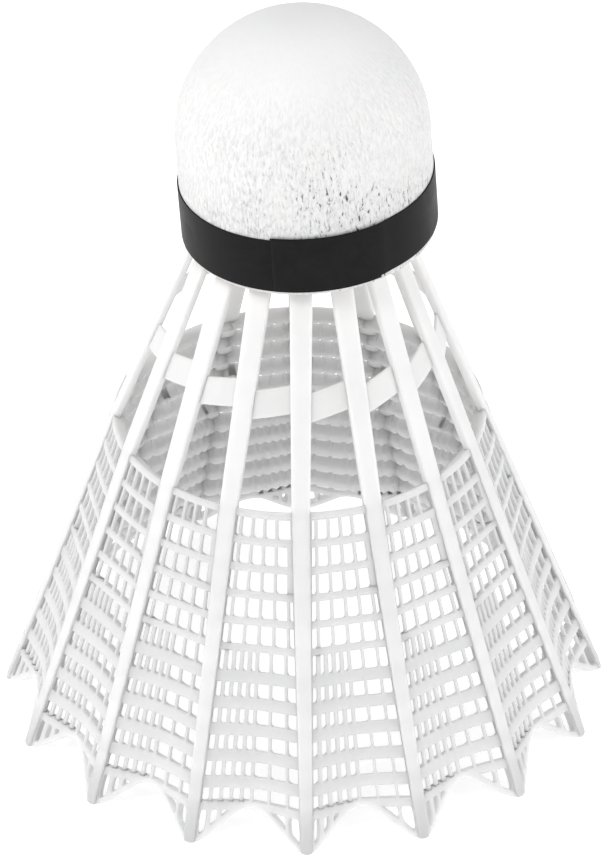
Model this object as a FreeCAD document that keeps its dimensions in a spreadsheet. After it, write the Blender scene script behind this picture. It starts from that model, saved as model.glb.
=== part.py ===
import FreeCAD, Part
import math
import os

import Sketcher

# Badminton shuttlecock with a moulded nylon skirt: head core, cover, tape, collar, ribs, hoop and net.
#
# Frame: millimetres, +Z up. The shuttlecock stands on its sixteen rib tips at Z = 0 with its head up,
# and the skirt's axis is the Z axis. Rib 01 points to -Y, and the numbers run towards +X.

V = FreeCAD.Vector
X_AXIS, Y_AXIS, Z_AXIS = V(1, 0, 0), V(0, 1, 0), V(0, 0, 1)

doc = FreeCAD.newDocument("shuttlecock")


# ---------------------------------------------------------------- driving dimensions

DIMENSIONS = {
    # skirt outline: the outer face of a rib, from its tip over the net's top edge to the neck
    "rib_count": 16,
    "rim_radius": 32.4,
    "net_top_radius": 19.66,
    "net_top_height": 34.67,
    "rib_end_radius": 10.5,
    "rib_end_height": 58.0,
    # the necks of the ribs stand off the axis towards +X
    "neck_shift": 0.45,
    # rib section, width along the rim and depth towards the axis
    "tip_width": 1.05,
    "net_rib_width": 1.95,
    "neck_rib_width": 2.4,
    "tip_depth": 0.9,
    "net_rib_depth": 1.0,
    "neck_rib_depth": 1.05,
    # net: pleated between two ribs, with an arch in its lower edge and a round lobe at each rib. Its
    # level bars reach inwards past the strands
    "net_thickness": 1.25,
    "strand_thickness": 0.6,
    "net_setback": 0.1,
    "pleat_ratio": 0.955,
    "arch_height": 3.75,
    "arch_radius": 2.2,
    "lobe_radius": 2.2,
    "rim_bead": 0.7,
    "bar_pitch": 2.76,
    "bar_count": 12,
    "upper_rows": 5,
    "upper_bar": 0.7,
    "lower_bar": 1.2,
    "last_bar": 0.85,
    "strand": 0.3,
    "narrow_strand": 0.5,
    "narrowest_cell": 0.3,
    # upright strands: spaced from one rib in the upper rows; below them close ones to the left of the
    # panel's middle, and wide cells at shares of the half width to its right
    "strand_start": 0.62,
    "start_growth": 0.06,
    "strand_pitch": 1.27,
    "pitch_growth": 0.068,
    "narrow_cells": 5,
    "wide_share": 0.345,
    "second_share": 0.725,
    # hoop: one slanting ribbon from each rib to the next
    "hoop_height": 2.8,
    "hoop_thickness": 0.35,
    "hoop_base": 43.0,
    "hoop_rise": 1.2,
    "hoop_drop": 0.2,
    "hoop_setback": 0.32,
    # head: glued on slightly askew, so it leans towards -X about its seat
    "head_shift": 1.5,
    "head_lean": 3.0,
    "seat_height": 56.6,
    "head_radius": 13.15,
    "cover_thickness": 0.5,
    "head_straight": 11.6,
    # collar: flange under the head with a sleeve in the core's ring groove
    "flange_radius": 12.2,
    "flange_thickness": 0.4,
    "sleeve_outer": 9.6,
    "sleeve_inner": 8.6,
    "sleeve_length": 6.0,
    # tape round the head's lower edge, with its end lapped over its start
    "tape_offset": 0.45,
    "tape_width": 6.1,
    "tape_thickness": 0.15,
    "lap_start": 253.6,
    "lap_angle": 49.2,
    "lap_lift": 0.35,
}

sheet = doc.addObject("Spreadsheet::Sheet", "Sheet")
for row, (alias, value) in enumerate(DIMENSIONS.items(), start=1):
    sheet.set(f"A{row}", alias)
    sheet.set(f"B{row}", str(value))
    sheet.setAlias(f"B{row}", alias)
doc.recompute()


def size(alias):
    """A driving dimension as the sheet holds it."""
    return float(getattr(sheet, alias))


def value_of(formula):
    """A formula in the sheet's aliases, worked out."""
    found = sheet.evalExpression(formula)
    return float(getattr(found, "Value", found))


def bind(item, **formulas):
    """Binds properties to formulas in the sheet's aliases, each alias written as Sheet.alias."""
    for name, formula in formulas.items():
        item.setExpression(name, formula)


rib_count = int(size("rib_count"))
pitch = 360.0 / rib_count


# ---------------------------------------------------------------- head, turned profiles

def origin_plane(body, role):
    """One of the body's own origin planes."""
    return next(item for item in body.Origin.OriginFeatures if item.Role == role)


def closed_profile(body, name, corners, dome=None):
    """A closed sketch on XZ through corners, given as pairs of formulas for the radius and the height.

    dome is (index, centre): the side that starts at that corner is a quarter circle about that height.
    """
    sketch = body.newObject("Sketcher::SketchObject", name)
    sketch.AttachmentSupport = [(origin_plane(body, "XZ_Plane"), "")]
    sketch.MapMode = "FlatFace"
    points = [V(value_of(across), value_of(up), 0) for across, up in corners]
    count = len(points)
    ends = []
    for i, start in enumerate(points):
        stop = points[(i + 1) % count]
        if dome and i == dome[0]:
            radius = start.x if start.x > 0 else stop.x
            circle = Part.Circle(V(0, value_of(dome[1]), 0), Z_AXIS, radius)
            sketch.addGeometry(Part.ArcOfCircle(circle, 0, math.pi / 2))
            sketch.addConstraint(Sketcher.Constraint("PointOnObject", i, 3, -2))
            ends.append((1, 2) if start.x > 0 else (2, 1))
        else:
            sketch.addGeometry(Part.LineSegment(start, stop))
            ends.append((1, 2))
    for i in range(count):
        j = (i + 1) % count
        sketch.addConstraint(Sketcher.Constraint("Coincident", i, ends[i][1], j, ends[j][0]))
    for i, (across, up) in enumerate(corners):
        where = ends[i][0]
        if points[i].x == 0:
            sketch.addConstraint(Sketcher.Constraint("PointOnObject", i, where, -2))
        else:
            held = sketch.addConstraint(
                Sketcher.Constraint("DistanceX", -1, 1, i, where, points[i].x)
            )
            sketch.setExpression(f"Constraints[{held}]", across)
        if points[i].y == 0:
            sketch.addConstraint(Sketcher.Constraint("PointOnObject", i, where, -1))
        else:
            held = sketch.addConstraint(
                Sketcher.Constraint("DistanceY", -1, 1, i, where, points[i].y)
            )
            sketch.setExpression(f"Constraints[{held}]", up)
    return sketch


def revolve(body, sketch, formula="360"):
    """Turns a profile about the body's Z axis, through the angle that the formula gives."""
    turned = body.newObject("PartDesign::Revolution", sketch.Name + "_turned")
    turned.Profile = sketch
    turned.ReferenceAxis = (sketch, ["V_Axis"])
    turned.Angle = value_of(formula)
    turned.setExpression("Angle", formula)
    sketch.Visibility = False
    return turned


def seat_on_skirt(item):
    """Puts an object in the head's own frame: its origin is the centre of the seat, its Z axis the head's."""
    item.Placement = FreeCAD.Placement(V(0, 0, 0), FreeCAD.Rotation(-Y_AXIS, size("head_lean")))
    bind(
        item,
        **{
            ".Placement.Base.x": "Sheet.head_shift",
            ".Placement.Base.z": "Sheet.seat_height",
            ".Placement.Rotation.Angle": "Sheet.head_lean",
        },
    )


def head_body(name):
    """A body in the head's own frame."""
    body = doc.addObject("PartDesign::Body", name)
    body.Label = name
    seat_on_skirt(body)
    return body


def make_head_core():
    """Cork core: a straight part under a dome, with a ring groove in its seat for the collar."""
    body = head_body("head_core")
    radius = "Sheet.head_radius - Sheet.cover_thickness"
    seat = "Sheet.flange_thickness"
    top = "Sheet.flange_thickness + Sheet.head_straight"
    outline = [
        ("0", seat),
        (radius, seat),
        (radius, top),
        ("0", f"{top} + {radius}"),
    ]
    revolve(body, closed_profile(body, "core_outline", outline, dome=(2, top)))
    ring = [
        ("Sheet.sleeve_inner", seat),
        ("Sheet.sleeve_outer", seat),
        ("Sheet.sleeve_outer", f"{seat} + Sheet.sleeve_length"),
        ("Sheet.sleeve_inner", f"{seat} + Sheet.sleeve_length"),
    ]
    before = volume_after_recompute(body)
    sketch = closed_profile(body, "core_ring", ring)
    groove = body.newObject("PartDesign::Groove", "core_groove")
    groove.Profile = sketch
    groove.ReferenceAxis = (sketch, ["V_Axis"])
    groove.Angle = 360
    if volume_after_recompute(body) >= before:
        raise RuntimeError("the ring groove cut nothing")
    return body


def make_head_cover():
    """Leather-like skin over the core, open at the seat."""
    body = head_body("head_cover")
    inner = "Sheet.head_radius - Sheet.cover_thickness"
    seat = "Sheet.flange_thickness"
    top = "Sheet.flange_thickness + Sheet.head_straight"
    outline = [
        ("0", seat),
        ("Sheet.head_radius", seat),
        ("Sheet.head_radius", top),
        ("0", f"{top} + Sheet.head_radius"),
    ]
    revolve(body, closed_profile(body, "cover_outline", outline, dome=(2, top)))
    hollow = [
        ("0", seat),
        (inner, seat),
        (inner, top),
        ("0", f"{top} + {inner}"),
    ]
    before = volume_after_recompute(body)
    sketch = closed_profile(body, "cover_hollow", hollow, dome=(2, top))
    groove = body.newObject("PartDesign::Groove", "cover_room")
    groove.Profile = sketch
    groove.ReferenceAxis = (sketch, ["V_Axis"])
    groove.Angle = 360
    if volume_after_recompute(body) >= before:
        raise RuntimeError("the hollow cut nothing")
    return body


def make_tape_band():
    """Tape wound once round the head, with a second layer where its end laps over its start."""
    body = head_body("tape_band")
    base = "Sheet.flange_thickness + Sheet.tape_offset"
    outer = "Sheet.head_radius + Sheet.tape_thickness"
    turn = [
        ("Sheet.head_radius", base),
        (outer, base),
        (outer, f"{base} + Sheet.tape_width"),
        ("Sheet.head_radius", f"{base} + Sheet.tape_width"),
    ]
    revolve(body, closed_profile(body, "tape_turn", turn))
    lap_outer = "Sheet.head_radius + 2 * Sheet.tape_thickness"
    lap = [
        (outer, f"{base} + Sheet.lap_lift"),
        (lap_outer, f"{base} + Sheet.lap_lift"),
        (lap_outer, f"{base} + Sheet.lap_lift + Sheet.tape_width"),
        (outer, f"{base} + Sheet.lap_lift + Sheet.tape_width"),
    ]
    sketch = closed_profile(body, "tape_lap", lap)
    sketch.AttachmentOffset = FreeCAD.Placement(V(0, 0, 0), FreeCAD.Rotation(Y_AXIS, size("lap_start")))
    revolve(body, sketch, "Sheet.lap_angle")
    return body


def make_skirt_collar():
    """Top ring of the skirt moulding: a flange under the head and a sleeve glued into the core."""
    body = head_body("skirt_collar")
    top = "Sheet.flange_thickness + Sheet.sleeve_length"
    outline = [
        ("Sheet.sleeve_inner", "0"),
        ("Sheet.flange_radius", "0"),
        ("Sheet.flange_radius", "Sheet.flange_thickness"),
        ("Sheet.sleeve_outer", "Sheet.flange_thickness"),
        ("Sheet.sleeve_outer", top),
        ("Sheet.sleeve_inner", top),
    ]
    revolve(body, closed_profile(body, "collar_outline", outline))
    return body


def volume_after_recompute(body):
    """The body's volume once its newest feature is worked out."""
    doc.recompute()
    return body.Shape.Volume


# ---------------------------------------------------------------- skirt, ribs and hoop

def turned(angle):
    """A placement that turns a piece about the skirt's axis."""
    return FreeCAD.Placement(V(0, 0, 0), FreeCAD.Rotation(Z_AXIS, angle))


def rib_stretch(name, low, high, angle=0.0):
    """One straight stretch of rib, between two sections given as (height, radius, width, depth, shift) aliases.

    A wedge runs along its own Y axis, so it is stood up: its Y becomes Z, and its Z points to -Y. The
    shift moves a section towards the shuttlecock's +X, for a rib that will be turned by the angle.
    """
    wedge = doc.addObject("Part::Wedge", name)
    wedge.Placement = FreeCAD.Placement(V(0, 0, 0), FreeCAD.Rotation(X_AXIS, 90))
    for prefix, (height, radius, width, depth, shift) in (("", low), ("2", high)):
        across = f"{shift} * cos({angle} deg)"
        outwards = f"{shift} * sin({angle} deg)"
        bind(
            wedge,
            **{
                f"X{prefix}min": f"({across} - {width} / 2) * 1mm",
                f"X{prefix}max": f"({across} + {width} / 2) * 1mm",
                f"Z{prefix}min": f"({outwards} + {radius} - {depth}) * 1mm",
                f"Z{prefix}max": f"({outwards} + {radius}) * 1mm",
                "Ymax" if prefix else "Ymin": f"{height} * 1mm",
            },
        )
    return wedge


NET_SECTION = (
    "Sheet.net_top_height",
    "Sheet.net_top_radius",
    "Sheet.net_rib_width",
    "Sheet.net_rib_depth",
    "0",
)


def make_rib_beside_net():
    """The stretch of rib beside the net, for the rib that points to -Y."""
    tip = ("0", "Sheet.rim_radius", "Sheet.tip_width", "Sheet.tip_depth", "0")
    return rib_stretch("rib_beside_net", tip, NET_SECTION)


def make_seat_block():
    """The room that the head and its flange take up above the ribs, in the head's own frame."""
    block = doc.addObject("Part::Cylinder", "seat_block")
    bind(block, Radius="Sheet.rim_radius * 1mm", Height="Sheet.head_radius * 1mm")
    seat_on_skirt(block)
    return block


def make_rib(number, beside_net, seat_block):
    """A rib turned to its place and trimmed under the head."""
    angle = (number - 1) * pitch
    end = (
        "Sheet.rib_end_height",
        "Sheet.rib_end_radius",
        "Sheet.neck_rib_width",
        "Sheet.neck_rib_depth",
        "Sheet.neck_shift",
    )
    above_net = rib_stretch(f"rib_above_net_{number:02d}", NET_SECTION, end, angle)
    whole = doc.addObject("Part::MultiFuse", f"rib_stretches_{number:02d}")
    whole.Shapes = [beside_net, above_net]
    whole.Placement = turned(angle)
    rib = doc.addObject("Part::Cut", f"rib_{number:02d}")
    rib.Label = f"rib_{number:02d}"
    rib.Base = whole
    rib.Tool = seat_block
    return rib


def neck_share(height):
    """How far up a height is from the net's top edge to the ribs' ends, from 0 to 1."""
    return (height - size("net_top_height")) / (size("rib_end_height") - size("net_top_height"))


def outline_radius(height):
    """The radius of the ribs' outer faces at a height above the net's top edge."""
    fall = size("net_top_radius") - size("rib_end_radius")
    return size("net_top_radius") - fall * neck_share(height)


def make_hoop_segment(number, ribs):
    """A ribbon between two ribs. It rises and sinks inwards on its way, and leans with the cone.

    Its ends stand a little inside the ribs' sides, where the ribs cut them off.
    """
    inset = math.degrees(size("neck_rib_width") / 4 / outline_radius(size("hoop_base")))
    start_angle, stop_angle = (number - 1) * pitch + inset, number * pitch - inset
    fall = size("net_top_radius") - size("rib_end_radius")
    lean = math.degrees(math.atan2(fall, size("rib_end_height") - size("net_top_height")))

    def foot(angle, height, inwards):
        radius = outline_radius(height) - inwards
        turn = math.radians(angle)
        shift = size("neck_shift") * neck_share(height)
        return V(radius * math.sin(turn) + shift, -radius * math.cos(turn), height)

    start = foot(start_angle, size("hoop_base"), size("hoop_setback"))
    stop = foot(
        stop_angle,
        size("hoop_base") + size("hoop_rise"),
        size("hoop_setback") + size("hoop_drop"),
    )
    along = stop - start
    heading = FreeCAD.Rotation(X_AXIS, V(along.x, along.y, 0))
    climb = FreeCAD.Rotation(Y_AXIS, -math.degrees(math.atan2(along.z, math.hypot(along.x, along.y))))
    box = doc.addObject("Part::Box", f"hoop_ribbon_{number:02d}")
    box.Length = along.Length
    bind(box, Width="Sheet.hoop_thickness * 1mm", Height="Sheet.hoop_height * 1mm")
    box.Placement = FreeCAD.Placement(
        start, heading.multiply(climb).multiply(FreeCAD.Rotation(X_AXIS, -lean))
    )
    neighbours = doc.addObject("Part::Compound", f"hoop_neighbours_{number:02d}")
    neighbours.Links = [ribs[number - 1], ribs[number % rib_count]]
    segment = doc.addObject("Part::Cut", f"hoop_{number:02d}")
    segment.Label = f"hoop_{number:02d}"
    segment.Base = box
    segment.Tool = neighbours
    return segment


# ---------------------------------------------------------------- skirt, net

def net_radius(height):
    """The radius of the net's outer face at a rib's centre line."""
    fall = size("rim_radius") - size("net_top_radius")
    return size("rim_radius") - size("net_setback") - fall * height / size("net_top_height")


def pleated_plate(start, stop):
    """Two flat plates folded inwards along the middle, from rib centre to rib centre, facing -Y.

    They reach from one depth below the net's outer face to another.
    """
    half = math.radians(pitch / 2)

    def section(height):
        outer = net_radius(height) - start
        inner = net_radius(height) - stop
        ratio = size("pleat_ratio")
        return [
            V(-outer * math.sin(half), -outer * math.cos(half), height),
            V(0, -outer * ratio, height),
            V(outer * math.sin(half), -outer * math.cos(half), height),
            V(inner * math.sin(half), -inner * math.cos(half), height),
            V(0, -inner * ratio, height),
            V(-inner * math.sin(half), -inner * math.cos(half), height),
        ]

    low, high = section(0.0), section(size("net_top_height"))
    faces = [Part.Face(Part.makePolygon(low + low[:1])), Part.Face(Part.makePolygon(high + high[:1]))]
    for i in range(len(low)):
        j = (i + 1) % len(low)
        faces.append(Part.Face(Part.makePolygon([low[i], low[j], high[j], high[i], low[i]])))
    solid = Part.Solid(Part.Shell(faces))
    return solid if solid.Volume > 0 else solid.reversed()


def arch_curve(bead):
    """The side of the net's lower edge towards +X, moved up and outwards by the bead.

    It is an arc over the middle, a straight flank that touches it, and a quarter or less of the round
    lobe under the rib. Returns the arc's top and foot, the lobe's start, middle and lowest point.
    """
    arc, lobe = size("arch_radius"), size("lobe_radius")
    centre = V(0, 0, size("arch_height") - arc)
    lobe_centre = V(net_radius(0) * math.sin(math.radians(pitch / 2)), 0, lobe)
    reach = lobe_centre - centre
    turn = math.atan2(reach.z, reach.x) + math.acos((arc + lobe) / reach.Length)
    normal = V(math.cos(turn), 0, math.sin(turn))
    bow = (Z_AXIS + normal).normalize()
    return (
        centre + Z_AXIS * (arc + bead),
        centre + normal * (arc + bead),
        lobe_centre - normal * (lobe - bead),
        lobe_centre - bow * (lobe - bead),
        lobe_centre - Z_AXIS * (lobe - bead),
    )


def arch_face(bead, top):
    """A flat face in XZ over the net's lower edge, up to the height top."""
    crown, foot, lobe_start, lobe_bow, lobe_end = arch_curve(bead)
    corner = V(lobe_end.x, 0, top)

    def mirrored(point):
        return V(-point.x, 0, point.z)

    edges = [
        Part.Arc(mirrored(foot), crown, foot).toShape(),
        Part.makeLine(foot, lobe_start),
        Part.Arc(lobe_start, lobe_bow, lobe_end).toShape(),
        Part.makeLine(lobe_end, corner),
        Part.makeLine(corner, mirrored(corner)),
        Part.makeLine(mirrored(corner), mirrored(lobe_end)),
        Part.Arc(mirrored(lobe_end), mirrored(lobe_bow), mirrored(lobe_start)).toShape(),
        Part.makeLine(mirrored(lobe_start), mirrored(foot)),
    ]
    return Part.Face(Part.Wire(edges))


def bar_top(index):
    """The upper edge of a level bar, counted from 0 at the net's top edge."""
    return size("net_top_height") - size("bar_pitch") * index


def bar_size(index):
    """The height of a level bar: slim beside the even rows, taller beside the pleated ones but the last."""
    if index == size("bar_count") - 1:
        return size("last_bar")
    return size("upper_bar") if index <= size("upper_rows") else size("lower_bar")


def clear_half(height):
    """Half the net's width between the two ribs at a height, as seen along the panel's middle."""
    share = height / size("net_top_height")
    rib_half = (size("tip_width") + (size("net_rib_width") - size("tip_width")) * share) / 2
    half = math.radians(pitch / 2)
    return net_radius(height) * math.sin(half) - rib_half * math.cos(half)


def strand_shares(row, height):
    """Where the upright strands cross a height in a row, as shares of the half width from -1 to 1."""
    if row < size("upper_rows"):
        half = clear_half(height)
        start = size("strand_start") + size("start_growth") * row
        step = size("strand_pitch") + size("pitch_growth") * row
        count = int((2 * half - start - size("strand")) / step) + 1
        return [-1] + [(start + step * i) / half - 1 for i in range(count)] + [1]
    cells = int(size("narrow_cells"))
    narrow = [i / cells - 1 for i in range(cells + 1)]
    return narrow + [size("wide_share"), size("second_share"), 1]


def row_span(row):
    """The lower edge of the bar above a row, and the upper edge of what is below the row."""
    is_last = row == size("bar_count") - 1
    return bar_top(row) - bar_size(row), -size("rim_bead") if is_last else bar_top(row + 1)


def flat_face(high, low, left, right):
    """A flat face in XZ between two heights. Its sides are given as functions of the height."""
    corners = [
        V(left(high), 0, high),
        V(right(high), 0, high),
        V(right(low), 0, low),
        V(left(low), 0, low),
    ]
    return Part.Face(Part.makePolygon(corners + corners[:1]))


def cell_faces():
    """The net's openings as flat faces, in rows between the level bars."""
    faces = []
    for row in range(int(size("bar_count"))):
        high, low = row_span(row)
        shares = strand_shares(row, (high + low) / 2)
        for start, stop in zip(shares, shares[1:]):
            is_narrow = row >= size("upper_rows") and stop <= 0
            gap = size("narrow_strand" if is_narrow else "strand") / 2
            if (stop - start) * clear_half(high) < size("narrowest_cell") + 2 * gap:
                continue
            faces.append(
                flat_face(
                    high,
                    low,
                    lambda height: clear_half(height) * start + gap,
                    lambda height: clear_half(height) * stop - gap,
                )
            )
    return faces


def row_faces():
    """The rows between the level bars as flat faces, from rib to rib."""
    return [
        flat_face(*row_span(row), lambda height: -net_radius(height), net_radius)
        for row in range(int(size("bar_count")))
    ]


def panel_pattern(rib_shape):
    """The net panel between rib 01 and rib 02, turned back so that its middle faces -Y."""
    reach = size("rim_radius") + size("rim_bead")

    def cutter(face):
        return face.translated(V(0, -reach, 0)).extrude(V(0, reach, 0))

    inside_bead = arch_face(size("rim_bead"), size("net_top_height"))
    plate = pleated_plate(0.0, size("net_thickness"))
    plate = plate.common(cutter(arch_face(0.0, size("net_top_height"))))
    plate = plate.cut(cutter(Part.Compound(cell_faces()).common(inside_bead)))
    behind_strands = pleated_plate(size("strand_thickness"), 2 * size("net_thickness"))
    plate = plate.cut(behind_strands.common(cutter(Part.Compound(row_faces()).common(inside_bead))))
    for side in (-1, 1):
        beside = rib_shape.copy()
        beside.Placement = turned(side * pitch / 2)
        plate = plate.cut(beside)
    return plate.removeSplitter()


def make_net_panel(number, pattern):
    """A net panel between rib NUMBER and the next one."""
    panel = doc.addObject("Part::Feature", f"net_panel_{number:02d}")
    panel.Label = f"net_panel_{number:02d}"
    panel.Shape = pattern
    panel.Placement = turned((number - 0.5) * pitch)
    return panel


# ---------------------------------------------------------------- assembly, checks and files

def make_parts():
    """Every sub-part of the shuttlecock, as a list of document objects."""
    head = [make_head_core(), make_head_cover(), make_tape_band(), make_skirt_collar()]
    beside_net = make_rib_beside_net()
    seat_block = make_seat_block()
    numbers = range(1, rib_count + 1)
    ribs = [make_rib(number, beside_net, seat_block) for number in numbers]
    doc.recompute()
    hoops = [make_hoop_segment(number, ribs) for number in numbers]
    pattern = panel_pattern(beside_net.Shape)
    panels = [make_net_panel(number, pattern) for number in numbers]
    doc.recompute()
    return head + ribs + hoops + panels


def check(parts):
    """Stops on any failed object, and on any sub-part that isn't one valid solid."""
    for item in doc.Objects:
        if "Invalid" in item.State or "Error" in item.State:
            raise RuntimeError(f"{item.Name} failed: {item.State}")
    for part in parts:
        if part.Shape.isNull() or not part.Shape.isValid():
            raise RuntimeError(f"{part.Label} has no valid shape")
        if len(part.Shape.Solids) != 1:
            raise RuntimeError(f"{part.Label} has {len(part.Shape.Solids)} solids")


parts = make_parts()
check(parts)
os.makedirs("parts", exist_ok=True)
for part in parts:
    part.Shape.exportStep(f"parts/{part.Label}.step")
    print(f"{part.Label}: {part.Shape.Volume:.1f} mm3")
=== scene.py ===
import math

import bmesh
import bpy
from mathutils import Matrix, Vector


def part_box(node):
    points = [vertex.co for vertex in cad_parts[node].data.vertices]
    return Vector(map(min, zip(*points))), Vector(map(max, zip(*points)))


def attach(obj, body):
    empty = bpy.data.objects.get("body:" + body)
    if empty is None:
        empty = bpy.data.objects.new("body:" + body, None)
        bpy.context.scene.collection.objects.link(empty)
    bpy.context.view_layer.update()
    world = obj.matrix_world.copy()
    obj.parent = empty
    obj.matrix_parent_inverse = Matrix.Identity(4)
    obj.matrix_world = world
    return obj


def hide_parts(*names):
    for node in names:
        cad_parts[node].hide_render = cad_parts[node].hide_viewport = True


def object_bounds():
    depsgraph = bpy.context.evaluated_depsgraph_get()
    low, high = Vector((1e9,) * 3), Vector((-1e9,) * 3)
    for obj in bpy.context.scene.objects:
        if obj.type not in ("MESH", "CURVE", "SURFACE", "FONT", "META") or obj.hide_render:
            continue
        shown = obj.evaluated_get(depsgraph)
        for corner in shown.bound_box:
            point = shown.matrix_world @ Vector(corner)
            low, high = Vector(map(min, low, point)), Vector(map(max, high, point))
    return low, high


# Badminton shuttlecock: leather head with spiral tape, on a moulded nylon skirt of ribs, hoop and net.
# Metres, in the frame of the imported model: +Z up, standing on the rib tips at Z = 0, rib 01 towards -Y.

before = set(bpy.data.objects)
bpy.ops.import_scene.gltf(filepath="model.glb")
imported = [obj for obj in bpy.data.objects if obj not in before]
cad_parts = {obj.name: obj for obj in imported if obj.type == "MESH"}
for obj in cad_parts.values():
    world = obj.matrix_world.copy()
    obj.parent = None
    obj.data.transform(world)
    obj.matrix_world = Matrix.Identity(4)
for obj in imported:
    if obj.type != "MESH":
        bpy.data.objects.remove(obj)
cad_low, cad_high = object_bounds()

MM = 0.001
RIB_COUNT = 16
PITCH = 2 * math.pi / RIB_COUNT
NUMBERS = range(1, RIB_COUNT + 1)

# ---------------------------------------------------------------- sizes

# skirt outline, along the outer faces of the ribs
RIM_RADIUS = -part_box("rib_01")[0].y
NET_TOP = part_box("net_panel_01")[1].z
NET_TOP_RADIUS = 19.66 * MM
RIB_END_RADIUS = 10.5 * MM
RIB_END_HEIGHT = 58.0 * MM
NECK_SHIFT = 0.45 * MM

# rib sections, as (height, width, depth)
RIB_SECTIONS = (
    (0.0, 1.25 * MM, 0.9 * MM),
    (NET_TOP, 1.95 * MM, 1.0 * MM),
    (RIB_END_HEIGHT, 2.4 * MM, 1.05 * MM),
)

# a rib's end is rounded, sinks inwards below the first height, and is less white below the second
RIB_END_ROUNDING = 2.0 * MM
RIB_FADE = 1.6 * MM
WHITE_FROM = 9.0 * MM

# net
NET_SETBACK = 0.1 * MM
BAR_DEPTH = 1.55 * MM
BAR_DROP = 0.48 * MM
BEAD_DEPTH = 1.0 * MM
STRAND_DEPTH = 0.45 * MM
STRAND_SINK = 0.06 * MM
EDGE_ROUNDING = 0.14 * MM
PANEL_OVERLAP = 0.3 * MM
PLEAT_AT_TOP = 1.0
PLEAT_AT_RIM = 0.942
PLEAT_SHARPNESS = 0.65
FOLD_SOFTNESS = 0.3
NORMAL_STEP = 0.05 * MM
RIDGE_ROUNDING = 1.1 * MM
ARCH_HEIGHT = 3.75 * MM
ARCH_RADIUS = 2.2 * MM
LOBE_RADIUS = 3.0 * MM
RIM_BEAD = 0.6 * MM
BAR_PITCH = 2.76 * MM
BAR_COUNT = 12
UPPER_ROWS = 5
UPPER_BAR = 0.8 * MM
LOWER_BAR = 1.3 * MM
LAST_BAR = 0.9 * MM
STRAND = 0.34 * MM
NARROW_STRAND = 0.46 * MM
NARROWEST_CELL = 0.25 * MM
STRAND_START = 0.62 * MM
START_GROWTH = 0.06 * MM
STRAND_PITCH = 1.27 * MM
PITCH_GROWTH = 0.068 * MM
NARROW_CELLS = 5
WIDE_SHARES = (0.345, 0.725)
CORNER = 0.24 * MM
BAR_STEP = 0.06 * MM
RIB_MARGIN = 0.25 * MM
NET_LEVELS = 1
LAST_ROW = BAR_COUNT - 1
LAST_GAP_TOP = NET_TOP - BAR_PITCH * LAST_ROW - LAST_BAR

# net pattern: lines this near are one line, the bead joins the last bar within the margin, and the rim is cut
# into pieces this long
JOIN_DISTANCE = 0.2 * MM
MERGE_MARGIN = 0.1 * MM
RIM_PIECE = 0.45 * MM
EDGE_SEARCH_STEPS = 5

# hoop
HOOP_BASE = 43.0 * MM
HOOP_RISE = 1.2 * MM
HOOP_DROP = 0.2 * MM
HOOP_SETBACK = 0.32 * MM
HOOP_HEIGHT = 2.8 * MM
HOOP_THICKNESS = 0.35 * MM

# head, in its own frame: the origin is the centre of its seat and Z is its axis
HEAD_SHIFT = 1.5 * MM
HEAD_LEAN = math.radians(3.0)
SEAT_HEIGHT = 56.6 * MM
HEAD_RADIUS = 13.15 * MM
COVER_THICKNESS = 0.5 * MM
HEAD_STRAIGHT = 11.6 * MM
FLANGE_RADIUS = 12.2 * MM
FLANGE_THICKNESS = 0.4 * MM
SLEEVE_OUTER = 9.6 * MM
SLEEVE_INNER = 8.6 * MM
SLEEVE_LENGTH = 6.0 * MM
TAPE_OFFSET = 0.45 * MM
TAPE_WIDTH = 6.1 * MM
TAPE_THICKNESS = 0.15 * MM
TAPE_GAP = 0.01 * MM
LAP_START = math.radians(253.6)
LAP_ANGLE = math.radians(49.2)
LAP_LIFT = 0.35 * MM
LAP_CLIMB = 0.12
HEAD_FRAME = Matrix.Translation((HEAD_SHIFT, 0, SEAT_HEIGHT)) @ Matrix.Rotation(-HEAD_LEAN, 4, "Y")

# ---------------------------------------------------------------- materials

# how far light travels in the nylon
NET_SCATTER = 3.2 * MM
RIB_SCATTER = 1.5 * MM


def new_material(name):
    """A material with its node tree and its Principled shader."""
    material = bpy.data.materials.new(name)
    material.use_nodes = True
    shader = next(n for n in material.node_tree.nodes if n.type == "BSDF_PRINCIPLED")
    return material, material.node_tree, shader


def add_node(tree, kind, inputs=(), **settings):
    """A node with its settings, and its inputs as (name, number or socket) pairs."""
    node = tree.nodes.new(kind)
    for name, value in settings.items():
        setattr(node, name, value)
    for name, value in inputs:
        if isinstance(value, bpy.types.NodeSocket):
            tree.links.new(value, node.inputs[name])
        else:
            node.inputs[name].default_value = value
    return node


def object_place(tree):
    """The piece's own coordinates."""
    return add_node(tree, "ShaderNodeTexCoord").outputs["Object"]


def math_node(tree, operation, *values):
    """A Math node's output."""
    return add_node(tree, "ShaderNodeMath", list(enumerate(values)), operation=operation).outputs[0]


def noise_field(tree, place, scale, detail=3.0, roughness=0.5, distortion=0.0):
    """Noise from 0 to 1."""
    return add_node(
        tree,
        "ShaderNodeTexNoise",
        [
            ("Vector", place),
            ("Scale", scale),
            ("Detail", detail),
            ("Roughness", roughness),
            ("Distortion", distortion),
        ],
    ).outputs["Fac"]


def spread(tree, value, low, high, to_low, to_high):
    """A value moved from one range to another, held at the ends."""
    return add_node(
        tree,
        "ShaderNodeMapRange",
        [
            ("Value", value),
            ("From Min", low),
            ("From Max", high),
            ("To Min", to_low),
            ("To Max", to_high),
        ],
    ).outputs[0]


def ramp(tree, value, *stops):
    """A colour ramp with (position, colour) stops."""
    node = add_node(tree, "ShaderNodeValToRGB", [("Fac", value)])
    while len(node.color_ramp.elements) < len(stops):
        node.color_ramp.elements.new(0.5)
    for element, (position, colour) in zip(node.color_ramp.elements, stops):
        element.position = position
        element.color = (*colour, 1)
    return node.outputs["Color"]


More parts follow.
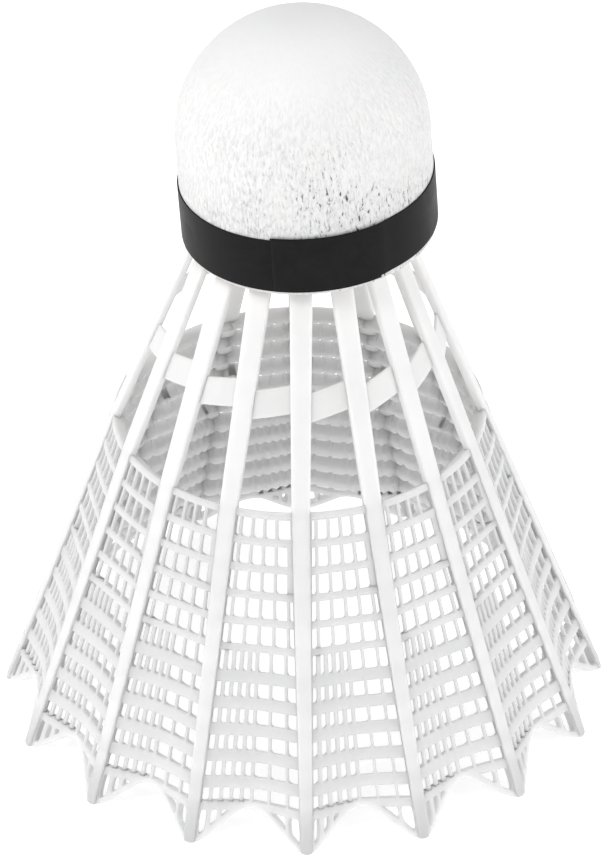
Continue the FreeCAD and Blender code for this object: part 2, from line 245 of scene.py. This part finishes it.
def mixed(tree, share, first, second):
    """A colour between two, as sockets or colours."""
    node = add_node(tree, "ShaderNodeMix", data_type="RGBA")
    named = {socket.identifier: socket for socket in (*node.inputs, *node.outputs)}
    for name, value in (("Factor_Float", share), ("A_Color", first), ("B_Color", second)):
        if isinstance(value, bpy.types.NodeSocket):
            tree.links.new(value, named[name])
        else:
            named[name].default_value = value
    return named["Result_Color"]


def bump(tree, height, strength, distance, below=None):
    """A bump, over the one below it."""
    inputs = [("Height", height), ("Strength", strength), ("Distance", distance)]
    if below is not None:
        inputs.append(("Normal", below))
    return add_node(tree, "ShaderNodeBump", inputs).outputs["Normal"]


def nylon_material():
    """Frosted white nylon: cloudy, faintly grainy, a little translucent, and whiter where it is thick."""
    material, tree, shader = new_material("skirt_nylon")
    place = object_place(tree)
    clouds = noise_field(tree, place, 160, 3)
    grain = noise_field(tree, place, 2600, 4, 0.6)
    thin = ramp(tree, clouds, (0.3, (0.605, 0.608, 0.61)), (0.7, (0.65, 0.65, 0.65)))
    thick = ramp(tree, clouds, (0.3, (0.73, 0.73, 0.73)), (0.7, (0.78, 0.78, 0.78)))
    whiteness = add_node(tree, "ShaderNodeAttribute", attribute_name="whiteness").outputs["Fac"]
    tree.links.new(mixed(tree, whiteness, thin, thick), shader.inputs["Base Color"])
    tree.links.new(spread(tree, grain, 0.3, 0.7, 0.34, 0.5), shader.inputs["Roughness"])
    swell = bump(tree, clouds, 0.25, 0.1 * MM)
    tree.links.new(bump(tree, grain, 0.3, 0.02 * MM, swell), shader.inputs["Normal"])
    shader.inputs["Subsurface Weight"].default_value = 0.8
    shader.inputs["Subsurface Radius"].default_value = (1.0, 1.0, 1.0)
    scatter = spread(tree, whiteness, 0.0, 1.0, NET_SCATTER, RIB_SCATTER)
    tree.links.new(scatter, shader.inputs["Subsurface Scale"])
    shader.inputs["IOR"].default_value = 1.5
    return material


def leather_material():
    """White leather with short wrinkles that run towards the head's pole, and cracks low on one side; painted
    shade darkens it towards its seat and in the wrinkle grooves.
    """
    material, tree, shader = new_material("head_leather")
    place = object_place(tree)
    split = add_node(tree, "ShaderNodeSeparateXYZ", [("Vector", place)])
    x, y, z = (split.outputs[name] for name in "XYZ")
    squares = [math_node(tree, "MULTIPLY", value, value) for value in (x, y)]
    ring = math_node(tree, "SQRT", math_node(tree, "ADD", *squares))
    rise = math_node(tree, "SUBTRACT", z, FLANGE_THICKNESS + HEAD_STRAIGHT)
    climb = math_node(tree, "ARCTAN2", rise, math_node(tree, "ADD", ring, 0.001 * MM))
    divisor = math_node(tree, "ADD", ring, 0.5 * MM)
    along = add_node(
        tree,
        "ShaderNodeCombineXYZ",
        [
            ("X", math_node(tree, "DIVIDE", x, divisor)),
            ("Y", math_node(tree, "DIVIDE", y, divisor)),
            ("Z", math_node(tree, "MULTIPLY", climb, 0.36)),
        ],
    ).outputs[0]
    wrinkles = noise_field(tree, along, 50, 3, 0.6, 0.5)
    pebble = noise_field(tree, place, 2200, 3, 0.6)
    patches = noise_field(tree, place, 110, 2)
    depth = math_node(
        tree,
        "MULTIPLY",
        spread(tree, climb, -0.3, 1.0, 1.0, 0.1),
        spread(tree, patches, 0.35, 0.65, 0.6, 1.0),
    )
    grooves = math_node(tree, "MULTIPLY", spread(tree, wrinkles, 0.36, 0.56, 1.0, 0.0), depth)
    low_down = math_node(
        tree,
        "MULTIPLY",
        spread(tree, climb, 0.0, 0.5, 1.0, 0.0),
        spread(tree, x, -7 * MM, 3 * MM, 0.15, 1.0),
    )
    worn = math_node(tree, "MULTIPLY", low_down, spread(tree, patches, 0.41, 0.52, 0.0, 1.0))
    cracks = math_node(tree, "MULTIPLY", spread(tree, wrinkles, 0.38, 0.35, 0.0, 1.0), worn)
    # painted shade: the smooth leather is painted darker towards the seat and lighter towards the pole,
    # standing in for light falling from above
    painted_light_by_height = spread(tree, climb, -0.6, 1.2, 0.0, 1.0)
    smooth = mixed(tree, painted_light_by_height, (0.69, 0.69, 0.69, 1), (0.87, 0.87, 0.87, 1))
    # painted shade: the wrinkle grooves are also painted darker in colour, on top of their bump
    white = mixed(tree, grooves, smooth, (0.57, 0.57, 0.57, 1))
    colour = mixed(tree, cracks, white, (0.06, 0.06, 0.06, 1))
    tree.links.new(colour, shader.inputs["Base Color"])
    tree.links.new(spread(tree, pebble, 0.3, 0.7, 0.42, 0.62), shader.inputs["Roughness"])
    fine = bump(tree, pebble, 0.4, 0.02 * MM)
    raised = math_node(tree, "SUBTRACT", 1.0, grooves)
    tree.links.new(bump(tree, raised, 1.0, 0.07 * MM, fine), shader.inputs["Normal"])
    shader.inputs["Subsurface Weight"].default_value = 0.05
    shader.inputs["Subsurface Scale"].default_value = 0.3 * MM
    return material


def tape_material():
    """Satin black vinyl tape with a faint grain and a few scuffs."""
    material, tree, shader = new_material("black_tape")
    place = object_place(tree)
    grain = noise_field(tree, place, 3200, 3, 0.6)
    scuffs = noise_field(tree, place, 260, 5, 0.65, 1.5)
    colour = ramp(tree, scuffs, (0.35, (0.007, 0.007, 0.0072)), (0.75, (0.012, 0.012, 0.0122)))
    tree.links.new(colour, shader.inputs["Base Color"])
    tree.links.new(spread(tree, scuffs, 0.3, 0.75, 0.38, 0.55), shader.inputs["Roughness"])
    tree.links.new(bump(tree, grain, 0.35, 0.02 * MM), shader.inputs["Normal"])
    shader.inputs["Specular IOR Level"].default_value = 0.08
    return material


def cork_material():
    """Pressed cork: packed granules in browns, with dark pores."""
    material, tree, shader = new_material("cork")
    place = object_place(tree)
    bent = add_node(
        tree,
        "ShaderNodeTexNoise",
        [("Vector", place), ("Scale", 700.0), ("Detail", 2.0)],
    ).outputs["Color"]
    jittered = mixed(tree, 0.0004, place, bent)
    granules = add_node(tree, "ShaderNodeTexVoronoi", [("Vector", jittered), ("Scale", 750.0)])
    tone = add_node(tree, "ShaderNodeSeparateColor", [("Color", granules.outputs["Color"])]).outputs[0]
    colour = ramp(
        tree,
        tone,
        (0.0, (0.30, 0.17, 0.08)),
        (0.35, (0.52, 0.34, 0.19)),
        (1.0, (0.68, 0.49, 0.30)),
    )
    tree.links.new(colour, shader.inputs["Base Color"])
    pores = noise_field(tree, place, 1800, 4, 0.7)
    tree.links.new(spread(tree, pores, 0.3, 0.7, 0.75, 0.95), shader.inputs["Roughness"])
    seams = bump(tree, granules.outputs["Distance"], 0.5, 0.15 * MM)
    tree.links.new(bump(tree, pores, 0.5, 0.08 * MM, seams), shader.inputs["Normal"])
    return material


def floor_material():
    """White paper on a light table."""
    material, tree, shader = new_material("floor_paper")
    fibres = noise_field(tree, object_place(tree), 400, 4)
    colour = ramp(tree, fibres, (0.3, (0.93, 0.93, 0.93)), (0.7, (0.95, 0.95, 0.95)))
    tree.links.new(colour, shader.inputs["Base Color"])
    shader.inputs["Roughness"].default_value = 0.9
    shader.inputs["Specular IOR Level"].default_value = 0.1
    shader.inputs["Emission Color"].default_value = (1, 1, 1, 1)
    shader.inputs["Emission Strength"].default_value = 0.5
    return material


LOOKS = {
    "skirt_nylon": nylon_material(),
    "head_leather": leather_material(),
    "black_tape": tape_material(),
    "cork": cork_material(),
}

# ---------------------------------------------------------------- pieces

ON_AXIS = 1e-7


def add_piece(name, mesh, slot, place=None, whiteness=0.0):
    """An object with the mesh, its slot's material and its place, that rides on the part's only body."""
    mesh.materials.clear()
    mesh.materials.append(LOOKS[slot])
    if "whiteness" not in mesh.attributes:
        tone = mesh.attributes.new("whiteness", "FLOAT", "POINT")
        tone.data.foreach_set(
            "value", [whiteness * max(0.0, min(1.0, v.co.z / WHITE_FROM)) for v in mesh.vertices]
        )
    mesh.shade_smooth()
    piece = bpy.data.objects.new(name, mesh)
    bpy.context.scene.collection.objects.link(piece)
    if place is not None:
        piece.matrix_world = place
    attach(piece, "root")
    return piece


def mesh_of(name, points, faces):
    """A mesh with its faces turned outwards."""
    mesh = bpy.data.meshes.new(name)
    mesh.from_pydata([tuple(p) for p in points], [], faces)
    work = bmesh.new()
    work.from_mesh(mesh)
    bmesh.ops.recalc_face_normals(work, faces=work.faces)
    work.to_mesh(mesh)
    work.free()
    return mesh


def subdivided(mesh, levels):
    """The mesh after that many Catmull-Clark levels."""
    holder = bpy.data.objects.new("holder", mesh)
    bpy.context.scene.collection.objects.link(holder)
    smoothing = holder.modifiers.new("smoothing", "SUBSURF")
    smoothing.levels = levels
    smoothing.render_levels = levels
    bpy.context.view_layer.update()
    result = bpy.data.meshes.new_from_object(holder.evaluated_get(bpy.context.evaluated_depsgraph_get()))
    bpy.data.objects.remove(holder)
    return result


def sweep(name, rings):
    """A closed tube through rings of points, capped at both ends."""
    count = len(rings[0])
    points = [p for ring in rings for p in ring]
    faces = []
    for i in range(len(rings) - 1):
        for j in range(count):
            k = (j + 1) % count
            faces.append((i * count + j, i * count + k, (i + 1) * count + k, (i + 1) * count + j))
    faces.append(tuple(range(count)))
    faces.append(tuple((len(rings) - 1) * count + j for j in range(count)))
    return mesh_of(name, points, faces)


def lathe(name, outline, steps):
    """A closed ring or dome turned from an outline of (radius, height) points. A radius of 0 is a pole."""
    points, faces, rows = [], [], []
    turns = [2 * math.pi * i / steps for i in range(steps)]
    for radius, height in outline:
        if radius < ON_AXIS:
            rows.append([len(points)] * steps)
            points.append((0, 0, height))
        else:
            rows.append(list(range(len(points), len(points) + steps)))
            points.extend((radius * math.cos(turn), radius * math.sin(turn), height) for turn in turns)
    for low, high in zip(rows, rows[1:] + rows[:1]):
        for i in range(steps):
            j = (i + 1) % steps
            corners = list(dict.fromkeys((low[i], low[j], high[j], high[i])))
            if len(corners) > 2:
                faces.append(tuple(corners))
    return mesh_of(name, points, faces)


def rounded(corners, radius, steps=3):
    """A closed outline with its corners rounded, as (x, y) points. A corner on the axis stays sharp."""
    out = []
    count = len(corners)
    for i, corner in enumerate(corners):
        here = Vector(corner)
        before = Vector(corners[i - 1]) - here
        after = Vector(corners[(i + 1) % count]) - here
        if here.x < ON_AXIS:
            out.append(tuple(here))
            continue
        reach = min(radius, before.length * 0.45, after.length * 0.45)
        start, stop = here + before.normalized() * reach, here + after.normalized() * reach
        for step in range(steps + 1):
            share = step / steps
            out.append(tuple(start.lerp(here, share).lerp(here.lerp(stop, share), share)))
    return out


def squircle(width, depth, count=28, power=5.0):
    """A section with flat sides and rounded corners, as (across, deep) points."""
    out = []
    for i in range(count):
        turn = 2 * math.pi * (i + 0.5) / count
        c, s = math.cos(turn), math.sin(turn)
        across = math.copysign(abs(c) ** (2 / power), c) * width / 2
        deep = math.copysign(abs(s) ** (2 / power), s) * depth / 2
        out.append((across, deep))
    return out


def blend_sections(height):
    """The rib's width and depth at a height."""
    for (low, w0, d0), (high, w1, d1) in zip(RIB_SECTIONS, RIB_SECTIONS[1:]):
        if height <= high:
            share = (height - low) / (high - low)
            return w0 + (w1 - w0) * share, d0 + (d1 - d0) * share
    return RIB_SECTIONS[-1][1:]


def outline_radius(height):
    """The radius of the ribs' outer faces."""
    if height < NET_TOP:
        return RIM_RADIUS + (NET_TOP_RADIUS - RIM_RADIUS) * height / NET_TOP
    share = (height - NET_TOP) / (RIB_END_HEIGHT - NET_TOP)
    return NET_TOP_RADIUS + (RIB_END_RADIUS - NET_TOP_RADIUS) * share


def around(angle, radius, height, across=0.0):
    """A point at an angle from -Y towards +X, moved sideways by across. Above the net it leans to +X."""
    above = max(0.0, height - NET_TOP) / (RIB_END_HEIGHT - NET_TOP)
    return Vector(
        (
            radius * math.sin(angle) + across * math.cos(angle) + NECK_SHIFT * above,
            -radius * math.cos(angle) + across * math.sin(angle),
            height,
        )
    )


def seat_height_at(point):
    """The height of the flange's underside over a point."""
    return SEAT_HEIGHT + (point.x - HEAD_SHIFT) * math.tan(HEAD_LEAN)


def rib_mesh(number):
    """A rib from its end in the lobe up into the flange."""
    angle = (number - 1) * PITCH
    top = RIB_END_HEIGHT
    for _ in range(4):
        top = seat_height_at(around(angle, outline_radius(top), top))
    top += FLANGE_THICKNESS / 2
    end_steps, body_steps = 8, 30
    heights = [RIB_FADE * (i / end_steps) ** 3 for i in range(end_steps)]
    heights += [RIB_FADE + (top - RIB_FADE) * i / body_steps for i in range(body_steps + 1)]
    rings = []
    for height in heights:
        width, depth = blend_sections(height)
        bottom = min(height + 0.01 * MM, RIB_END_ROUNDING)
        width = min(width, 2 * math.sqrt(RIB_END_ROUNDING**2 - (RIB_END_ROUNDING - bottom) ** 2))
        fade = max(0.0, 1 - height / RIB_FADE) ** 2
        radius = outline_radius(height) - depth / 2 - NET_SETBACK / 2 * fade
        rings.append(
            [around(angle, radius + deep, height, across) for across, deep in squircle(width, depth)]
        )
    return sweep("rib", rings)


def hoop_mesh(number):
    """A flat ribbon bowed from one rib to the next, climbing and sinking inwards on its way."""
    start = (number - 1) * PITCH
    rings = []
    steps = 10
    for i in range(steps + 1):
        share = i / steps
        angle = start + PITCH * share
        foot = HOOP_BASE + HOOP_RISE * share
        ring = []
        for up, deep in squircle(HOOP_HEIGHT, HOOP_THICKNESS, 24, 6.0):
            height = foot + HOOP_HEIGHT / 2 + up
            sink = HOOP_SETBACK + HOOP_DROP * share + HOOP_THICKNESS / 2
            chord = math.cos(PITCH / 2) / math.cos(angle - start - PITCH / 2)
            radius = outline_radius(height) * (0.5 + 0.5 * chord) - sink + deep
            ring.append(around(angle, radius, height))
        rings.append(ring)
    return sweep("hoop", rings)


# ---------------------------------------------------------------- net


def net_radius(height):
    """The radius of the net's outer face beside a rib."""
    return RIM_RADIUS - NET_SETBACK + (NET_TOP_RADIUS - RIM_RADIUS) * height / NET_TOP


def clear_half(height):
    """Half the net's width between two ribs."""
    return net_radius(height) * math.sin(PITCH / 2) - blend_sections(height)[0] / 2 * math.cos(PITCH / 2)


def net_point(x, height, inwards=0.0):
    """A point of the net's outer face, sunk inwards by some of its thickness."""

    def face(x, height):
        radius = net_radius(height)
        share = x / (radius * math.sin(PITCH / 2))
        low = 1 - height / NET_TOP
        ratio = PLEAT_AT_TOP + (PLEAT_AT_RIM - PLEAT_AT_TOP) * low
        flat = math.sqrt(1 + FOLD_SOFTNESS**2) - FOLD_SOFTNESS
        fold = (math.sqrt(share**2 + FOLD_SOFTNESS**2) - FOLD_SOFTNESS) / flat
        bow = 1 - share**2
        sharp = PLEAT_SHARPNESS * low
        lift = bow * (1 - sharp) + (1 - fold) * sharp
        to_rib = max(0.0, radius * math.sin(PITCH / 2) - abs(x)) / RIDGE_ROUNDING
        lift *= 1 - low * (1 - (math.sqrt(to_rib**2 + 1) - 1) / max(to_rib, 0.01))
        chord = math.cos(PITCH / 2)
        return Vector((x, -radius * (chord + (ratio - chord) * lift), height))

    here = face(x, height)
    if not inwards:
        return here
    aside = face(x + NORMAL_STEP, height) - here
    above = face(x, height + NORMAL_STEP) - here
    return here - aside.cross(above).normalized() * inwards


def bar_top(index):
    """The upper edge of a level bar, counted from 0 at the net's top edge."""
    return NET_TOP - BAR_PITCH * index


def bar_size(index):
    """The height of a level bar."""
    if index == BAR_COUNT - 1:
        return LAST_BAR
    return UPPER_BAR if index <= UPPER_ROWS else LOWER_BAR


def strand_shares(row, height):
    """Where the upright strands cross a height in a row, as shares of the half width from -1 to 1."""
    if row < UPPER_ROWS:
        start = STRAND_START + START_GROWTH * row
        step = STRAND_PITCH + PITCH_GROWTH * row
        width = 2 * clear_half(height)
        count = int((width - start - STRAND) / step) + 1
        return [-1] + [2 * (start + step * i) / width - 1 for i in range(count)] + [1]
    return [i / NARROW_CELLS - 1 for i in range(NARROW_CELLS + 1)] + [*WIDE_SHARES, 1]


def arch_height(x, offset=0.0):
    """The net's lower edge, moved up by an offset: an arc, a straight flank and the lobe under the rib."""
    arc, lobe = ARCH_RADIUS, LOBE_RADIUS
    centre = ARCH_HEIGHT - arc
    tip = net_radius(0) * math.sin(PITCH / 2)
    turn = math.atan2(lobe - centre, tip) + math.acos((arc + lobe) / math.hypot(tip, lobe - centre))
    x = abs(x)
    foot = (arc + offset) * math.cos(turn)
    if x < foot:
        return centre + math.sqrt((arc + offset) ** 2 - x**2)
    if x < tip - (lobe - offset) * math.cos(turn):
        return centre + (arc + offset) * math.sin(turn) - (x - foot) * math.cos(turn) / math.sin(turn)
    return lobe - math.sqrt((lobe - offset) ** 2 - (tip - x) ** 2)


def cell_columns(row):
    """The openings of a row as (left share, right share, half the strand between them)."""
    high = bar_top(row) - bar_size(row)
    low = bar_top(row + 1) if row < BAR_COUNT - 1 else 0.0
    shares = strand_shares(row, (high + low) / 2)
    columns = []
    for left, right in zip(shares, shares[1:]):
        gap = (NARROW_STRAND if row >= UPPER_ROWS and right <= 0 else STRAND) / 2
        if (right - left) * clear_half(high) >= NARROWEST_CELL + 2 * gap:
            columns.append((left, right, gap))
    return columns


def panel_half(height):
    """Half the net's width with its hidden edge under the rib."""
    return net_radius(height) * math.sin(PITCH / 2) + PANEL_OVERLAP


def row_lines(row, height):
    """The x of each upright line of a row at a height, as (x, index of the cell to its right or None)."""
    half = clear_half(height)
    lines = [(-panel_half(height), None), (-half - RIB_MARGIN, None)]
    for index, (left, right, gap) in enumerate(cell_columns(row)):
        a, b = left * half + gap, right * half - gap
        corner = min(CORNER, (b - a) / 3)
        lines += [(a, index), (a + corner, index), (b - corner, index), (b, None)]
    lines += [(half + RIB_MARGIN, None), (panel_half(height), None)]
    return lines


def paired(above, below, close):
    """Lines across a bar as (x at its top, x at its bottom), near ones joined."""
    if len(above) == len(below):
        return list(zip(above, below))
    pairs, rest = [], list(below)
    for x in above:
        near = min(rest, key=lambda other: abs(other - x), default=None)
        if near is not None and abs(near - x) < close:
            rest.remove(near)
            pairs.append((x, near))
        else:
            pairs.append((x, x))
    pairs += [(x, x) for x in rest]
    pairs.sort(key=lambda pair: pair[0] + pair[1])
    kept = pairs[:1]
    for top, bottom in pairs[1:]:
        kept.append((max(top, kept[-1][0]), max(bottom, kept[-1][1])))
    return kept


class NetSheet:
    """The flat pattern of one panel: points as (x, height, reach), and faces that share them.

    A reach is how deep the net's outer and inner faces lie under a point, and how far its inner face drops.
    """

    BAR = (0.0, BAR_DEPTH, BAR_DROP)
    BEAD = (0.0, BEAD_DEPTH, 0.0)
    STRAND = (STRAND_SINK, STRAND_SINK + STRAND_DEPTH, 0.0)

    def __init__(self):
        self.points = []
        self.faces = []
        self.index_of = {}

    def spot(self, x, height, reach):
        """The index of a point, made once for each place."""
        key = (round(x * 1e6), round(height * 1e6))
        if key not in self.index_of:
            self.index_of[key] = len(self.points)
            self.points.append((x, height, reach))
        return self.index_of[key]

    def patch(self, *corners):
        """A face through the corners that are apart."""
        ring = list(dict.fromkeys(self.spot(*corner) for corner in corners))
        if len(ring) > 2:
            self.faces.append(ring)

    def strip(self, pairs, top_of, bottom_of, reach):
        """A row of faces between two edges, along lines that are (x at the top, x at the bottom) pairs."""
        for (xa, ya), (xb, yb) in zip(pairs, pairs[1:]):
            self.patch(
                (xa, top_of(xa), reach),
                (xb, top_of(xb), reach),
                (yb, bottom_of(yb), reach),
                (ya, bottom_of(ya), reach),
            )


def bead_top(x):
    """The upper edge of the bead along the arch."""
    return arch_height(x, RIM_BEAD)


def last_bar_top(x):
    """The upper edge of the last bar, or of the bead where it rises above that."""
    return max(bar_top(LAST_ROW), bead_top(x))


def merged(x):
    """Whether the bead reaches the last bar."""
    return bead_top(x) > LAST_GAP_TOP - MERGE_MARGIN


def gap_high(x):
    """The lower edge of the last bar."""
    return (last_bar_top(x) + arch_height(x)) / 2 if merged(x) else LAST_GAP_TOP


def gap_low(x):
    """The bead's upper edge, where there is a gap above it."""
    return gap_high(x) if merged(x) else bead_top(x)


def add_bars(sheet):
    """The level bars above the last one."""
    for index in range(LAST_ROW):
        top, bottom = bar_top(index), bar_top(index) - bar_size(index)
        below = [x for x, _ in row_lines(index, bottom)]
        above = [x for x, _ in row_lines(max(index - 1, 0), top)]
        pairs = paired(above, below, JOIN_DISTANCE)
        sheet.strip(pairs, lambda x, z=top: z, lambda x, z=bottom: z, sheet.BAR)


def strand_side(sheet, row, upper_x, lower_x):
    """One side of a strand between two bars, as points from its top to its foot."""
    high = bar_top(row) - bar_size(row)
    low = bar_top(row + 1)
    lowest_row = row == LAST_ROW - 1
    foot = last_bar_top(lower_x) if lowest_row else low
    heights = (high, high - BAR_STEP, high - CORNER, foot + CORNER, foot + BAR_STEP, foot)
    places = [upper_x + (lower_x - upper_x) * (high - height) / (high - low) for height in heights]
    places[-1] = lower_x
    foot_reach = sheet.BEAD if lowest_row else sheet.BAR
    return list(zip(places, heights, (sheet.BAR, *[sheet.STRAND] * 4, foot_reach)))


def add_strands(sheet):
    """The upright strands between the bars, and the net's edges beside the ribs."""
    for row in range(LAST_ROW):
        upper = row_lines(row, bar_top(row) - bar_size(row))
        lower = row_lines(row, bar_top(row + 1))
        for i in range(len(upper) - 1):
            if upper[i][1] is not None:
                continue
            left, right = (strand_side(sheet, row, upper[k][0], lower[k][0]) for k in (i, i + 1))
            for k in range(len(left) - 1):
                sheet.patch(left[k], right[k], right[k + 1], left[k + 1])


def edge_crossings(high, foot):
    """The x where a line from the last bar's top to the floor meets the edges below it, from the top down."""

    def line(height):
        return foot + (high - foot) * height / bar_top(LAST_ROW)

    crossings = [line(bar_top(LAST_ROW))]
    for edge in (gap_high, gap_low, arch_height):
        x = line(LAST_GAP_TOP)
        for _ in range(EDGE_SEARCH_STEPS):
            x = line(edge(x))
        crossings.append(x)
    return crossings


def add_rim(sheet):
    """The last bar, the strands between the cells at the tips, and the bead along the arch."""
    columns = row_lines(LAST_ROW, bar_top(LAST_ROW))
    feet = [x for x, _ in row_lines(LAST_ROW, 0.0)]
    crossings, cells = [], []
    for (high, cell), foot, (next_high, _), next_foot in zip(columns, feet, columns[1:], feet[1:]):
        parts = max(1, math.ceil((next_high - high) / RIM_PIECE))
        for part in range(parts):
            share = part / parts
            crossings.append(
                edge_crossings(high + (next_high - high) * share, foot + (next_foot - foot) * share)
            )
            cells.append(cell)
    crossings.append(edge_crossings(columns[-1][0], feet[-1]))
    sheet.strip([(met[0], met[1]) for met in crossings], last_bar_top, gap_high, sheet.BEAD)
    sheet.strip([(met[2], met[3]) for met in crossings], gap_low, arch_height, sheet.BEAD)
    for left, right, cell in zip(crossings, crossings[1:], cells):
        if cell is None:
            sheet.strip([(left[1], left[2]), (right[1], right[2])], gap_high, gap_low, sheet.BEAD)


def thickened(sheet):
    """The pattern folded into the panel's shape and given its depth, as points and faces."""
    points = []
    for layer in range(4):
        for x, height, (outer, inner, drop) in sheet.points:
            depth = (outer, outer + EDGE_ROUNDING, inner - EDGE_ROUNDING, inner)[layer]
            points.append(net_point(x, height - drop * depth / inner, depth))
    count = len(sheet.points)
    faces = [tuple(ring) for ring in sheet.faces]
    faces += [tuple(i + 3 * count for i in reversed(ring)) for ring in sheet.faces]
    edges = {}
    for ring in sheet.faces:
        for a, b in zip(ring, ring[1:] + ring[:1]):
            edges[(a, b)] = True
    for a, b in edges:
        if (b, a) not in edges:
            for layer in range(3):
                near, far = layer * count, (layer + 1) * count
                faces.append((b + near, a + near, a + far, b + far))
    return points, faces


def net_mesh():
    """One net panel, with its middle towards -Y: bars, strands and the bead along its arches."""
    sheet = NetSheet()
    add_bars(sheet)
    add_strands(sheet)
    add_rim(sheet)
    mesh = subdivided(mesh_of("net_cage", *thickened(sheet)), NET_LEVELS)
    for vertex in mesh.vertices:
        vertex.co.z = max(vertex.co.z, 0.0)
    return mesh


# ---------------------------------------------------------------- head


def cover_mesh():
    """The leather skin: a straight wall under a dome, open at the seat."""
    spring = FLANGE_THICKNESS + HEAD_STRAIGHT
    inner = HEAD_RADIUS - COVER_THICKNESS
    edge = 0.35 * MM
    outline = [(inner, FLANGE_THICKNESS), (HEAD_RADIUS - edge, FLANGE_THICKNESS)]
    outline += [
        (HEAD_RADIUS - edge + edge * math.sin(a), FLANGE_THICKNESS + edge - edge * math.cos(a))
        for a in (math.pi / 6, math.pi / 3, math.pi / 2)
    ]
    straight_steps, dome_steps = 16, 56
    outline += [
        (HEAD_RADIUS, FLANGE_THICKNESS + edge + (spring - FLANGE_THICKNESS - edge) * i / straight_steps)
        for i in range(1, straight_steps)
    ]
    for radius, order in ((HEAD_RADIUS, range(dome_steps + 1)), (inner, range(dome_steps, -1, -1))):
        for i in order:
            turn = math.pi / 2 * i / dome_steps
            across = radius * math.cos(turn) if i < dome_steps else 0.0
            outline.append((across, spring + radius * math.sin(turn)))
    return lathe("cover", outline, 192)


def collar_mesh():
    """The skirt's top ring: a flange with a sleeve up into the core."""
    top = FLANGE_THICKNESS + SLEEVE_LENGTH
    corners = [
        (SLEEVE_INNER, 0.0),
        (FLANGE_RADIUS, 0.0),
        (FLANGE_RADIUS, FLANGE_THICKNESS),
        (SLEEVE_OUTER, FLANGE_THICKNESS),
        (SLEEVE_OUTER, top),
        (SLEEVE_INNER, top),
    ]
    return lathe("collar", rounded(corners, 0.15 * MM), 160)


def tape_mesh():
    """The tape's spiral: from its start at the lap's far end, round the head and over its start."""
    whole_turn = 2 * math.pi
    steps = 260
    rings = []
    for i in range(steps + 1):
        travel = (whole_turn + LAP_ANGLE) * i / steps
        angle = LAP_START + LAP_ANGLE - travel
        over = min(1.0, max(0.0, (travel - whole_turn + LAP_CLIMB) / LAP_CLIMB))
        inner = HEAD_RADIUS + TAPE_GAP + TAPE_THICKNESS * over**2 * (3 - 2 * over)
        low = FLANGE_THICKNESS + TAPE_OFFSET + LAP_LIFT * travel / whole_turn
        ring = []
        for up, deep in squircle(TAPE_WIDTH, TAPE_THICKNESS, 40, 14.0):
            radius = inner + TAPE_THICKNESS / 2 + deep
            height = low + TAPE_WIDTH / 2 + up
            ring.append(Vector((radius * math.cos(angle), radius * math.sin(angle), height)))
        rings.append(ring)
    return sweep("tape", rings)


for number in NUMBERS:
    rib = add_piece(f"rib_{number:02d}_moulded", rib_mesh(number), "skirt_nylon", whiteness=1.0)
    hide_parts(f"rib_{number:02d}")
    hoop = add_piece(f"hoop_{number:02d}_ribbon", hoop_mesh(number), "skirt_nylon", whiteness=0.6)
    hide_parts(f"hoop_{number:02d}")
net = net_mesh()
for number in NUMBERS:
    turn = Matrix.Rotation((number - 0.5) * PITCH, 4, "Z")
    panel = add_piece(f"net_panel_{number:02d}_pleat", net, "skirt_nylon", turn)
    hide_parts(f"net_panel_{number:02d}")

collar = add_piece("collar_ring", collar_mesh(), "skirt_nylon", HEAD_FRAME)
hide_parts("skirt_collar")
cover = add_piece("leather_cover", cover_mesh(), "head_leather", HEAD_FRAME)
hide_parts("head_cover")
tape = add_piece("tape_spiral", tape_mesh(), "black_tape", HEAD_FRAME)
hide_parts("tape_band")

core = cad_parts["head_core"]
core.data.materials.clear()
core.data.materials.append(LOOKS["cork"])

# ---------------------------------------------------------------- floor, light and camera

FLOOR_REACH = 12.0
FLOOR_GAP = 0.05 * MM
floor_corners = [(x * FLOOR_REACH, y * FLOOR_REACH, 0) for x, y in ((-1, -1), (1, -1), (1, 1), (-1, 1))]
floor_mesh = bpy.data.meshes.new("floor")
floor_mesh.from_pydata(floor_corners, [], [(0, 1, 2, 3)])
floor_mesh.materials.append(floor_material())
floor = bpy.data.objects.new("floor", floor_mesh)
floor.location.z = -FLOOR_GAP
bpy.context.scene.collection.objects.link(floor)

world = bpy.data.worlds.new("studio")
world.use_nodes = True
sky = world.node_tree.nodes["Background"]
sky.inputs["Color"].default_value = (1, 1, 1, 1)
sky.inputs["Strength"].default_value = 0.55
bpy.context.scene.world = world


def add_light(name, place, aim, width, power):
    """A square soft light at a place, aimed at a point."""
    lamp = bpy.data.lights.new(name, "AREA")
    lamp.size = width
    lamp.energy = power
    light = bpy.data.objects.new(name, lamp)
    light.location = place
    light.rotation_euler = (Vector(aim) - Vector(place)).to_track_quat("-Z", "Y").to_euler()
    bpy.context.scene.collection.objects.link(light)


middle = (0, 0, cad_high.z / 2)
add_light("key", (-0.4, -0.55, 1.0), middle, 0.35, 4.9)
add_light("left_fill", (-0.9, -0.2, 0.3), middle, 0.6, 2.0)
add_light("right_fill", (0.9, -0.2, 0.3), middle, 0.6, 2.7)

# the view is from the front and above: this far above the horizon, from this far away, a little tilted
VIEW_ELEVATION = math.radians(34.09)
VIEW_DISTANCE = 625.9 * MM
VIEW_TARGET = Vector((0.42 * MM, 0, 31.65 * MM))
VIEW_ROLL = math.radians(-1.0)
VIEW_LENS = 247.7
back = Vector((0, -math.cos(VIEW_ELEVATION), math.sin(VIEW_ELEVATION)))
camera = bpy.data.objects.new("camera", bpy.data.cameras.new("camera"))
camera.data.lens = VIEW_LENS
camera.data.sensor_width = 36
camera.data.clip_start = 0.01
camera.data.clip_end = 100
camera.matrix_world = (
    Matrix.Translation(VIEW_TARGET + back * VIEW_DISTANCE)
    @ (-back).to_track_quat("-Z", "Y").to_matrix().to_4x4()
    @ Matrix.Rotation(VIEW_ROLL, 4, "Z")
)
bpy.context.scene.collection.objects.link(camera)
bpy.context.scene.camera = camera
bpy.context.scene.view_settings.view_transform = "Standard"
